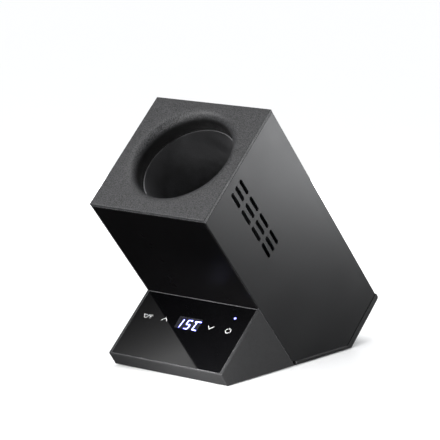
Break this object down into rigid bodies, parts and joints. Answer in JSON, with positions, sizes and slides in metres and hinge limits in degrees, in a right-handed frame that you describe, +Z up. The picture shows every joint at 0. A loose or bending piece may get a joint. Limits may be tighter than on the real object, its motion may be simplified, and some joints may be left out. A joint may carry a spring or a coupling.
{
  "type": "bottle cooler",
  "caption": "Leaning square-section table cooler for one wine bottle, with a round open well, side air slots and a sloping touch console.",
  "frame": {"origin": "middle of the footprint, at the bottom of the rubber feet", "axes": "+Z up, +Y from the touch console at the front towards the back, +X to the user's right; the cabinet leans towards -Y"},
  "size_m": [0.13, 0.2846, 0.2452],
  "materials": {
    "shell_paint": "fine-grain satin black powder coat",
    "cover_plastic": "spark-textured charcoal moulding",
    "front_gloss": "piano black",
    "tray_plastic": "black moulding",
    "console_plastic": "satin charcoal moulding",
    "touch_glass": "black-backed touch glass",
    "tape_black": "adhesive foam tape",
    "zinc_steel": "zinc-plated sheet",
    "black_screw": "black oxide",
    "bright_pin": "bright pin",
    "foot_rubber": "soft black rubber",
    "grille_plastic": "black moulding",
    "inlet_plastic": "black socket body",
    "cup_aluminium": "dark anodised",
    "gasket_rubber": "black foam rubber",
    "rest_silicone": "dark silicone",
    "foam_black": "expanded bead foam",
    "board_green": "solder-mask board",
    "component_black": "moulded components",
    "display_black": "display body",
    "led_white": "diffused LED",
    "touch_foam": "conductive foam",
    "ceramic_white": "alumina plates",
    "pad_grey": "thermal pad",
    "sensor_resin": "potted sensor",
    "block_aluminium": "milled aluminium",
    "sink_aluminium": "extruded aluminium",
    "fan_plastic": "glass-filled nylon",
    "fan_copper": "enamelled windings",
    "magnet_ferrite": "bonded ferrite",
    "bearing_bronze": "sintered bronze",
    "shaft_steel": "ground steel",
    "lead_pvc": "black insulation",
    "ribbon_grey": "flat ribbon"
  },
  "bodies": {
    "cabinet": {"side_panel_right": "shell_paint", "side_panel_left": "shell_paint", "back_panel": "shell_paint", "back_panel_screws": "black_screw", "front_panel": "front_gloss", "top_cover": "cover_plastic", "cover_screws": "black_screw", "side_rails": "zinc_steel", "base_tray": "tray_plastic", "intake_grille": "grille_plastic", "rubber_feet": "foot_rubber", "tray_screws": "black_screw", "corner_pins": "bright_pin", "dc_inlet": "inlet_plastic", "console_housing": "console_plastic", "touch_glass": "touch_glass", "glass_tape": "tape_black", "control_board": "board_green", "board_screws": "black_screw", "display_module": "display_black", "indicator_leds": "led_white", "touch_foam_pads": "touch_foam", "power_board": "board_green", "power_board_parts": "component_black", "power_board_screws": "black_screw", "cooling_cup": "cup_aluminium", "cup_gasket": "gasket_rubber", "bottle_rest_pad": "rest_silicone", "insulation_front": "foam_black", "insulation_rear": "foam_black", "insulation_base": "foam_black", "temperature_sensor": "sensor_resin", "cold_block": "block_aluminium", "peltier_module": "ceramic_white", "thermal_pads": "pad_grey", "heat_sink": "sink_aluminium", "clamp_screws": "black_screw", "support_plate": "zinc_steel", "fan_frame": "fan_plastic", "fan_bearing": "bearing_bronze", "fan_stator": "fan_copper", "fan_screws": "black_screw", "power_lead": "lead_pvc", "fan_lead": "lead_pvc", "peltier_leads": "lead_pvc", "sensor_lead": "lead_pvc", "board_ribbon": "ribbon_grey"},
    "fan": {"fan_rotor": "fan_plastic", "fan_magnet": "magnet_ferrite", "fan_shaft": "shaft_steel"}
  },
  "joints": [
    {"name": "fan_spin", "type": "hinge", "parent": "cabinet", "child": "fan", "pos_m": [0, 0.09156, 0.03547], "axis": [0, -0.682, 0.7314], "continuous": true}
  ]
}
